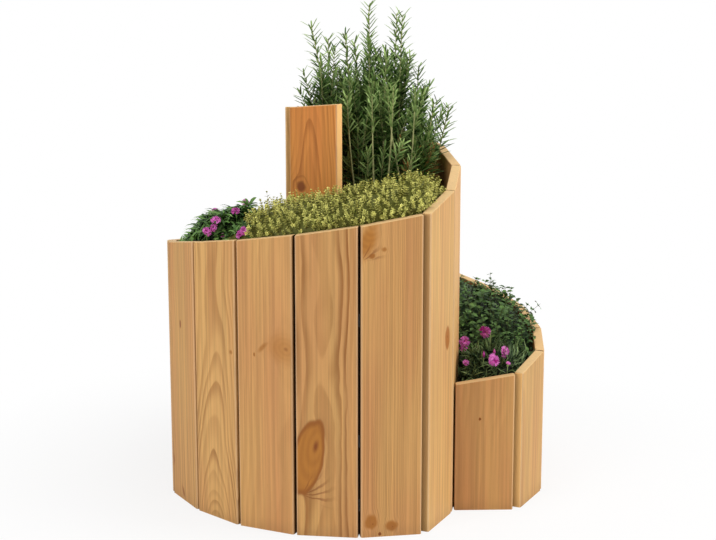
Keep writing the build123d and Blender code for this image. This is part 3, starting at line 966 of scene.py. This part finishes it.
def make_rosemary(rng):
    """Upright woody shoots with needles, side shoots that thicken the bush, bare pale feet."""
    plant = Plant(green_leaf(NEEDLE, -0.55, 0.5), rng)
    spec = {
        "spacing": 0.0066, "whorl": 2, "turn": 1.5, "bare": 0.08, "angles": (0.95, 0.40),
        "lengths": (0.024, 0.034), "width": 0.175, "tip_shrink": 0.30, "stem": 0.0021,
        "tint": 2.0, "tint_rise": 5.5, "tint_spread": 3.2, "joints": 7, "sides": 5,
    }
    upright = dict(spec, spacing=0.0088, whorl=3, turn=1.05, angles=(1.05, 0.62), width=0.14)
    upright["lengths"] = (0.029, 0.040)
    branch = dict(spec, bare=0.06, angles=(1.0, 0.5), stem=0.0013, joints=4, sides=4)
    for part in loose_parts("rosemary"):
        foot = part[part[:, 2] < part[:, 2].min() + LEVEL].mean(0)
        tip = part[part[:, 2] > part[:, 2].max() - LEVEL].mean(0)
        right, rise = TIP_SWAYS.get(round(tip[2] / MM), (0, 0))
        tip = tip + np.array([right, 0, rise]) * MM
        length = np.linalg.norm(tip - foot)
        heading = (tip - foot) / length
        bend = np.append(rng.normal(0.0, 0.05, 2), 0.0)
        plant.sprig(foot - heading * FOOT_DEPTH, heading - bend, length, bend, upright)
        for _ in range(SIDE_SHOOTS):
            share = rng.uniform(0.0, 0.60) ** 1.3
            start = foot + heading * length * share
            turn = rng.uniform(0, 2 * np.pi)
            lean = rng.uniform(0.08, 0.42)
            side = unit(heading + lean * np.array([np.cos(turn), np.sin(turn), 0.0]))
            reach = (1.0 - share) * length * rng.uniform(0.35, 0.88)
            below_tip = (tip[2] - rng.uniform(0.05, 0.12) - start[2]) / side[2]
            reach = min(max(reach, SHORT_SHOOT), LONG_SHOOT, below_tip)
            side = unit(keep_in_bed(start + side * reach) - start)
            curve = UP * 0.10 - side * 0.05
            plant.sprig(start, side, reach, curve, dict(branch, shift=rng.normal(-1.0, 1.4)))

    # Young shoots all round the foot
    # Their leaves are one tint brighter: painted light where the boards shade the foot of the bush
    young = dict(spec, bare=0.0, stem=0.0012, joints=4, sides=4, shift=1.0)
    for _ in range(YOUNG_SHOOTS):
        turn = rng.uniform(0, 2 * np.pi)
        away = np.array([np.cos(turn), np.sin(turn)])
        foot = np.append(BED_MIDDLE + away * BED_REACH * np.sqrt(rng.uniform(0.1, 0.85)), BED_LEVEL)
        heading = unit(np.append(away * rng.uniform(0.0, 0.35), 1.0))
        plant.sprig(foot, heading, rng.uniform(0.06, 0.14), rng.normal(0.0, 0.08, 3), young)

    # Long pale feet at the front
    bare = dict(spec, bare=0.62, stem=0.0022, joints=5, shift=2.0)
    for x, y, lean in FRONT_STEMS:
        foot = np.array([x * MM, y * MM, BED_LEVEL])
        bend = np.array([-0.4 * lean, 0.0, 0.0])
        plant.sprig(foot, unit((lean, -0.05, 1.0)), rng.uniform(0.20, 0.24), bend, bare)

    # Dry twigs at the foot of the bush on the right
    dry = dict(spec, stem=0.0012, lengths=(0.012, 0.022), tint_rise=0.0, tint_spread=0.0)
    dry.update(dict.fromkeys(("tint", "last_tint", "stem_tint"), SHADE_TINT))
    for _ in range(DRY_TWIGS):
        foot = np.append(BED_MIDDLE + (rng.uniform(0.060, 0.112), rng.uniform(-0.080, 0.010)), BED_LEVEL)
        heading = unit(np.array([rng.normal(-0.05, 0.2), rng.normal(-0.1, 0.2), 1.0]))
        plant.sprig(foot, heading, rng.uniform(0.06, 0.12), rng.normal(0.0, 0.1, 3), dry)
    plant.piece("rosemary_bush", leaf_material("rosemary_leaf"), "rosemary", "rosemary")


# Thyme sprigs that stand up: place on the cushion in millimetres
THYME_SPRIGS = ((-204, -262), (-198, -254), (-177, -266), (-165, -260), (-155, -266))
THYME_START = -0.212  # the pinks grow over the bed left of this


def make_thyme(rng):
    """Low cushion of fine sprigs with tiny golden leaves and a few that stand up."""
    plant = Plant(green_leaf(TINY, 0.3, 0.6), rng)
    plant.shade("thyme", 0.007)
    spec = {
        "spacing": 0.0040, "whorl": 4, "turn": 0.8, "bare": 0.22, "angles": (1.25, 0.55),
        "lengths": (0.0044, 0.0068), "width": 0.60, "tip_shrink": 0.35, "stem": 0.0005,
        "tint": 1.5, "tint_rise": 7.5, "tint_spread": 2.4, "joints": 3, "sides": 3,
    }
    for point, normal in zip(*spread_points("thyme", 0.0086, rng)):
        if point[0] <= THYME_START:
            continue
        heading = unit(normal * 0.7 + UP * 0.8 + rng.normal(0.0, 0.28, 3))
        length = rng.uniform(0.022, 0.036)
        foot = point - heading * length * rng.uniform(0.50, 0.75)
        bend = rng.normal(0.0, 0.12, 3)
        plant.sprig(foot, heading, length, bend, dict(spec, shift=rng.normal(0.0, 1.6)))
    tall = dict(spec, spacing=0.0080, whorl=2, turn=1.57, bare=0.30, tint=0.0, tint_rise=2.0)
    tall["lengths"] = (0.006, 0.010)
    for x, y in THYME_SPRIGS:
        foot = on_cushion("thyme", x, y) - UP * 0.02
        heading = unit(np.array([rng.normal(0.0, 0.3), rng.normal(0.0, 0.2), 1.0]))
        plant.sprig(foot, heading, rng.uniform(0.042, 0.056), rng.normal(0.0, 0.15, 3), tall)
    plant.piece("thyme_cushion", leaf_material("thyme_leaf"), "thyme", "thyme")


# Behind and left of this the mound stays below the rim
OREGANO_BACK = 0.14
OREGANO_LEFT = 0.300
OREGANO_RING = 0.27  # further out than this its stems are deepest there
# As near as this to the wall, and behind this, stems stand up and hide the rim
RIM_REACH = 0.035
OREGANO_FRONT = 0.06
# Stems that lean out over the rim: foot in millimetres, length, bend
OREGANO_STRAYS = ((352, 30, 0.075, (0.5, 0.0, -0.15)), (350, 46, 0.060, (0.3, 0.0, 0.0)))


def make_oregano(rng):
    """Dense mound of upright stems with opposite pairs of small oval leaves, larger at the crest."""
    plant = Plant(green_leaf(OVAL, 0.22, 0.9), rng)
    plant.shade("oregano", 0.012)
    spec = {
        "spacing": 0.0085, "whorl": 2, "turn": 1.571, "bare": 0.25, "angles": (1.25, 0.95),
        "lengths": (0.010, 0.016), "width": 0.62, "tip_shrink": 0.25, "stem": 0.0009,
        "tint": 0.5, "tint_rise": 6.5, "tint_spread": 2.2, "joints": 3, "sides": 3,
    }
    crest = dict(spec, lengths=(0.015, 0.020), spacing=0.0095, tip_shrink=0.1, tint=1.5)
    for point, normal in zip(*spread_points("oregano", 0.0135, rng, room=0.008)):
        heading = unit(normal * 0.6 + UP * 0.9 + rng.normal(0.0, 0.25, 3))
        length = rng.uniform(0.036, 0.060)
        low = point[1] > OREGANO_BACK and point[0] < OREGANO_LEFT
        depths = (0.30, 0.65)
        if low:
            depths = (0.80, 0.95) if np.hypot(point[0], point[1]) > OREGANO_RING else (0.50, 0.72)
        foot = point - heading * length * rng.uniform(*depths)
        bend = rng.normal(0.0, 0.12, 3)
        kind = crest if rng.random() < 0.3 and not low else spec
        plant.sprig(foot, heading, length, bend, dict(kind, shift=rng.normal(0.0, 1.3)))
        near = meets_board(point, unit((point[0], point[1], 0.0)), RIM_REACH)
        if near and not low and point[1] > OREGANO_FRONT:
            for _ in range(2):
                heading = unit(UP + rng.normal(0.0, 0.14, 3))
                plant.sprig(point - UP * 0.02, heading, rng.uniform(0.040, 0.056), bend, crest)
    for x, y, length, bend in OREGANO_STRAYS:
        foot = on_cushion("oregano", x, y) - UP * 0.03
        plant.sprig(foot, unit((0.15, 0.0, 1.0)), length, np.array(bend), crest)
    plant.piece("oregano_mound", leaf_material("oregano_leaf"), "oregano", "oregano")


# Pinks. Blooms on the open end of each clump: head in millimetres, width, tint
LEFT_BLOOMS = (
    (-276, -236, 599, 20, 8), (-280, -240, 584, 18, 5), (-293, -244, 577, 20, 6), (-237, -219, 614, 19, 5),
    (-262, -238, 567, 12, 3), (-214, -322, 592, 19, 7), (-223, -317, 583, 17, 5),
)
RIGHT_BLOOMS = (
    (226, -136, 327, 26, 7), (269, -131, 345, 26, 4), (303, -206, 322, 27, 6), (279, -228, 311, 28, 7),
    (225, -204, 299, 14, 12), (308, -236, 306, 10, 10), (224, -140, 312, 18, 3),
)
RIGHT_BUDS = ((253, -124, 300), (260, -214, 312), (281, -216, 317))
# Blooms on the far side of the left clump: place on it in millimetres
BACK_BLOOMS = ((-310, 130), (-245, 160), (-285, 200))
BACK_BLOOM_RISE = 0.034
BACK_BLOOM_SIZE = 0.020
BACK_BLOOM_TINT = 6
PINKS_EDGE = -0.338  # left of this the left clump stays low, clear of the rim
STALK = 0.040
STALK_WAY = unit((0.0, -0.45, 0.9))
STALK_RADIUS = 0.0008
STALK_TINT = 10
CUP_PLACES = (-0.011, -0.008, 0.0)  # behind the head
CUP_RADII = (0.0012, 0.0024, 0.0030)
CUP_TINT = 9
BUD_LENGTH = 0.014
BUD_RADII = (0.0010, 0.0026, 0.0028, 0.0018, 0.0004)
BUD_TINT = 3
PETALS = 10
RING_PETALS = 5  # that lie low; the others stand up


def add_flower(flowers, greens, head, size, tint):
    """One bloom on its stalk: a green cup, five lower and some upper petals."""
    rng = flowers.rng
    facing = unit(np.array([0.12, -0.7, 0.6]) + rng.normal(0.0, 0.2, 3))
    shares = np.linspace(0.0, 1.0, 5)
    path = head - np.outer(1.0 - shares, STALK_WAY) * STALK - facing * 0.008
    greens.stem(path, np.full(5, STALK_RADIUS), STALK_TINT, 4)
    greens.stem(head + np.outer(CUP_PLACES, facing), CUP_RADII, CUP_TINT, 6)
    numbers = np.arange(PETALS)
    low = numbers < RING_PETALS
    turns = numbers * 2 * np.pi / RING_PETALS + rng.uniform(0, ANY_TURN) + rng.normal(0.0, 0.12, PETALS)
    lifts = np.where(low, 0.15, 0.75) + rng.normal(0.0, 0.12, PETALS)
    alongs, undersides = leaning(around(facing, turns), facing, lifts)
    lengths = size * np.where(low, 0.5, 0.36) * rng.uniform(0.82, 1.12, PETALS)
    tints = np.clip(np.floor(tint + rng.normal(0.0, 3.0, PETALS)), 0, LAST_TINT)
    flowers.leaves(head, alongs, -undersides, lengths, lengths * 0.95, tints)


def make_left_pinks(rng, blooms):
    """Broad arching leaves, low along the rim, also over the end of the thyme, with blooms."""
    clump = Plant(green_leaf(LANCE, 0.30, 1.6), rng, over_rim=False)
    clump.shade("left_pinks", 0.016)
    spec = {
        "count": 9, "tilts": (0.2, 1.3), "lengths": (0.026, 0.042), "width": 0.19,
        "tint": 5.0, "tint_spread": 3.2,
    }
    tall = dict(spec, count=4, tilts=(0.4, 1.1), lengths=(0.036, 0.048), width=0.15)
    low = dict(spec, lengths=(0.018, 0.030))
    for point, normal in zip(*spread_points("left_pinks", 0.019, rng, room=0.012)):
        edge = point[0] < PINKS_EDGE
        clump.tuft(point - normal * rng.uniform(0.012, 0.022), normal, low if edge else spec)
        clump.tuft(point - normal * 0.014, normal, low)
        if rng.random() < 0.25 and not edge:
            clump.tuft(point - normal * 0.014, normal, tall)
    for point, normal in zip(*spread_points("thyme", 0.014, rng, room=0.008)):
        if point[0] < THYME_START:
            clump.tuft(point - normal * rng.uniform(0.010, 0.018), normal, spec)
            clump.tuft(point - normal * 0.008, normal, low)
    for *head, size, tint in LEFT_BLOOMS:
        add_flower(blooms, clump, np.array(head) * MM, size * MM, tint)
    for x, y in BACK_BLOOMS:
        head = on_cushion("left_pinks", x, y) + UP * BACK_BLOOM_RISE
        add_flower(blooms, clump, head, BACK_BLOOM_SIZE, BACK_BLOOM_TINT)
    clump.piece("left_pinks_clump", leaf_material("left_pinks_leaf"), "pinks", "left_pinks")


def make_right_pinks(rng, blooms):
    """Narrow grey-green blades with blooms and buds."""
    clump = Plant(green_leaf(BLADE, 0.35, 0.9), rng, over_rim=False)
    clump.shade("right_pinks", 0.018)
    spec = {
        "count": 9, "tilts": (0.05, 1.0), "lengths": (0.030, 0.056), "width": 0.08,
        "tint": 4.0, "tint_spread": 3.6,
    }
    low = dict(spec, lengths=(0.020, 0.034), width=0.11)
    for point, normal in zip(*spread_points("right_pinks", 0.016, rng, room=0.010)):
        clump.tuft(point - normal * rng.uniform(0.016, 0.030), normal, spec)
        clump.tuft(point - normal * 0.012, normal, low)
    for *head, size, tint in RIGHT_BLOOMS:
        add_flower(blooms, clump, np.array(head) * MM, size * MM, tint)
    for place in RIGHT_BUDS:
        top = np.array(place) * MM
        stalk = np.linspace(top - STALK_WAY * STALK, top, 4)
        clump.stem(stalk, np.full(4, STALK_RADIUS), STALK_TINT, 4)
        bud = top + np.outer(np.linspace(0.0, 1.0, len(BUD_RADII)), UP) * BUD_LENGTH
        blooms.stem(bud, BUD_RADII, BUD_TINT, 6)
    clump.piece("right_pinks_clump", leaf_material("right_pinks_leaf"), "pinks", "right_pinks")


SOIL_MESH = 0.011  # longest edge of the soil's top
SOIL_PASSES = 8
SOIL_ROUGH = 0.006  # height of its unevenness
SOIL_SINK = 0.003  # and how far it lies lower for it
SOIL_SCALE = 22.0
CRUMB_SPACING = 0.017
CRUMB_SIZES = (0.0022, 0.0055)
CRUMB_SHAPES = (0.7, 1.25)  # a knob's distance from the middle, in sizes
CRUMB_SINK = 0.002
CRUMB_ROOM = 0.008  # from a crumb's middle to the nearest board
SOIL_DARK = linear(38, 28, 20)
SOIL_PALE = linear(92, 70, 50)
SOIL_DAMP = linear(58, 42, 30)


def looks_up(face):
    return face.normal.z > 0.5


def soil_material():
    """Dark earth of fine grains, damp in patches."""
    material, graph, shader = new_material("soil")
    place = graph.place()
    grains = place.noise(260.0, 3.0, 0.7)
    colour = graph.mix(grains.step(0.3, 0.75), SOIL_DARK, SOIL_PALE)
    looks = {
        "Base Color": graph.mix(place.noise(24.0).step(0.35, 0.7, 0.0, 0.5), colour, SOIL_DAMP),
        "Roughness": grains * 0.15 + 0.82,
        "Normal": graph.bump(grains, 0.7, 1.5 * MM),
        "Specular IOR Level": 0.2,
    }
    graph.fill(shader, looks)
    return material


def make_soil(rng):
    """Dark soil: the CAD solid's form with a crumbly top."""
    made = welded("soil")
    for _ in range(SOIL_PASSES):
        made.normal_update()
        tops = [edge for edge in made.edges if any(looks_up(face) for face in edge.link_faces)]
        long = [edge for edge in tops if edge.calc_length() > SOIL_MESH]
        bmesh.ops.subdivide_edges(made, edges=long, cuts=1)
        made.normal_update()
        bmesh.ops.triangulate(made, faces=[face for face in made.faces if looks_up(face)])
    made.normal_update()
    for vert in [vert for vert in made.verts if all(looks_up(face) for face in vert.link_faces)]:
        vert.co.z += SOIL_ROUGH * noise.fractal(vert.co * SOIL_SCALE, 1.0, 2.0, 3) - SOIL_SINK
    made.verts.index_update()
    ground = np.array([vert.co[:] for vert in made.verts])
    faces = [[vert.index for vert in face.verts] for face in made.faces]
    smooth = [looks_up(face) for face in made.faces]
    made.free()

    # Crumbs: small uneven balls
    ball = bmesh.new()
    bmesh.ops.create_icosphere(ball, subdivisions=1, radius=1.0)
    knobs = np.array([vert.co[:] for vert in ball.verts])
    facets = np.array([[vert.index for vert in face.verts] for face in ball.faces])
    ball.free()
    middles, _ = spread_points("soil", CRUMB_SPACING, rng, 0.5, 0.004)
    sizes = rng.uniform(*CRUMB_SIZES, (len(middles), 1, 1))
    lumps = knobs[None] * sizes * rng.uniform(*CRUMB_SHAPES, (len(middles), len(knobs), 1))
    lumps = lumps + middles[:, None] - UP * CRUMB_SINK
    lumps = lumps[[WALLS.find_nearest(Vector(middle), CRUMB_ROOM)[0] is None for middle in middles]]
    first = len(ground) + len(knobs) * np.arange(len(lumps))
    faces += (facets[None] + first[:, None, None]).reshape(-1, 3).tolist()
    smooth += [True] * (len(faces) - len(smooth))
    fine = bpy.data.meshes.new("soil_fill")
    fine.from_pydata(np.concatenate([ground, lumps.reshape(-1, 3)]), [], faces)
    fine.polygons.foreach_set("use_smooth", smooth)
    piece = add_object("soil_fill", fine)
    paint(piece, soil_material())
    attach(piece, "root")
    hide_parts("soil")


def seen_directly(graph):
    """1 for rays from the camera, from gloss and through glass, else 0."""
    path = graph.node("ShaderNodeLightPath").outputs
    rays = ("Is Camera Ray", "Is Glossy Ray", "Is Transmission Ray")
    camera, gloss, glass = [Value(graph, path[ray]) for ray in rays]
    return camera.at_least(gloss).at_least(glass)


def make_surroundings():
    """White all round where it is seen, dimmer as a light, and soft lamps."""
    world = bpy.data.worlds.new("studio")
    bpy.context.scene.world = world
    world.use_nodes = True
    graph = Graph(world.node_tree)
    strength = seen_directly(graph) * (1.0 - SKY_STRENGTH) + SKY_STRENGTH
    graph.fill(world.node_tree.nodes["Background"], {"Color": (1.0, 1.0, 1.0, 1.0), "Strength": strength})
    for name, place, size, watts, colour in LAMPS:
        lamp = bpy.data.lights.new(name, "AREA")
        lamp.size = size
        lamp.energy = watts
        lamp.color = colour
        holder = add_object(name, lamp)
        holder.location = place
        holder.rotation_mode = "QUATERNION"
        holder.rotation_quaternion = (Vector(LAMP_TARGET) - Vector(place)).to_track_quat("-Z", "Y")


def make_floor():
    """Pale floor that keeps the shadow and turns white further out."""
    mesh = bpy.data.meshes.new("floor")
    corners = [(x * FLOOR_REACH, y * FLOOR_REACH, 0.0) for x, y in ((-1, -1), (1, -1), (1, 1), (-1, 1))]
    mesh.from_pydata(corners, [], [(0, 1, 2, 3)])
    floor = add_object("floor", mesh)
    material, graph, shader = new_material("floor")
    graph.fill(shader, {"Base Color": FLOOR_GREY, "Roughness": 0.9, "Specular IOR Level": 0.1})
    white = graph.place().length().step(*FLOOR_FADE, *FLOOR_WHITE) * seen_directly(graph)
    glow = graph.value("ShaderNodeEmission")
    blend = graph.value("ShaderNodeMixShader", (white, Value(graph, shader.outputs[0]), glow))
    graph.fill(material.node_tree.nodes["Material Output"], [blend])
    paint(floor, material)


def place_camera():
    """Level camera that looks a little down, and plain colours."""
    lens = bpy.data.cameras.new("camera")
    lens.sensor_fit = "HORIZONTAL"
    lens.sensor_width = SENSOR_WIDTH
    lens.lens = FOCAL_PIXELS / IMAGE_WIDTH * SENSOR_WIDTH
    camera = add_object("camera", lens)
    camera.location = CAMERA_PLACE
    camera.rotation_euler = (math.radians(90.0 - CAMERA_PITCH), 0.0, 0.0)
    bpy.context.scene.camera = camera
    bpy.context.scene.view_settings.view_transform = "Standard"


def main():
    make_surroundings()
    make_floor()
    place_camera()
    knot = make_knot_group()
    wood = make_wood_group()
    rng = np.random.default_rng(SEED)
    for number in BOARDS:
        dress_board(number, wood, knot, rng)
    dress_steel()
    make_soil(rng)
    make_rosemary(rng)
    make_thyme(rng)
    make_oregano(rng)
    blooms = Plant(make_petal(), rng)
    make_left_pinks(rng, blooms)
    make_right_pinks(rng, blooms)
    blooms.piece("pinks_blooms", petal_material(), "pinks")


main()
